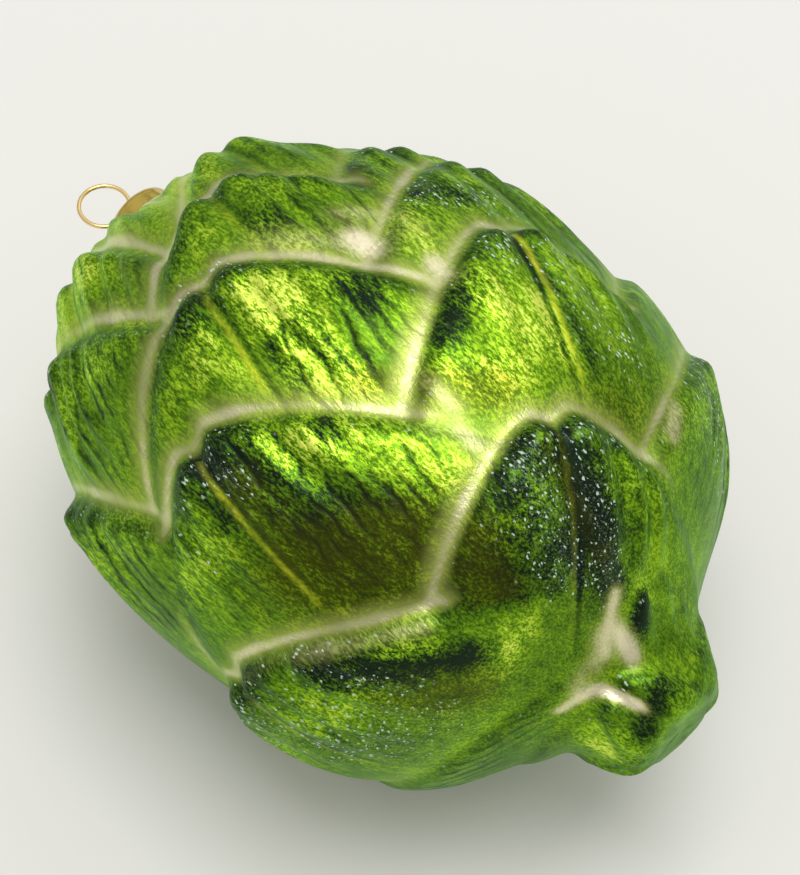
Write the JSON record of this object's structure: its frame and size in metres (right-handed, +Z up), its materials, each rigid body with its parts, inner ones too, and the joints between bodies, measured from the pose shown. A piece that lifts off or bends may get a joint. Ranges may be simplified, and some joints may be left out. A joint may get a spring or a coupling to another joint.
{
  "type": "glass artichoke ornament",
  "caption": "Silvered and lacquered blown-glass tree ornament in the shape of an artichoke, with a stamped metal cap and a wire hanging loop.",
  "frame": {"origin": "middle of the box on the surface that the ornament lies on", "axes": "+X from the hanger towards the stem, +Z up; the ornament lies on its side with its stem slightly lower"},
  "size_m": [0.1188, 0.0818, 0.0796],
  "materials": {
    "lacquered_glass": "satin green lacquer over silvered glass",
    "stamped_gold_metal": "bright stamped",
    "gold_wire": "bright drawn"
  },
  "bodies": {
    "root": {"glass_body": "lacquered_glass", "cap": "stamped_gold_metal", "hanger": "gold_wire"}
  },
  "joints": []
}
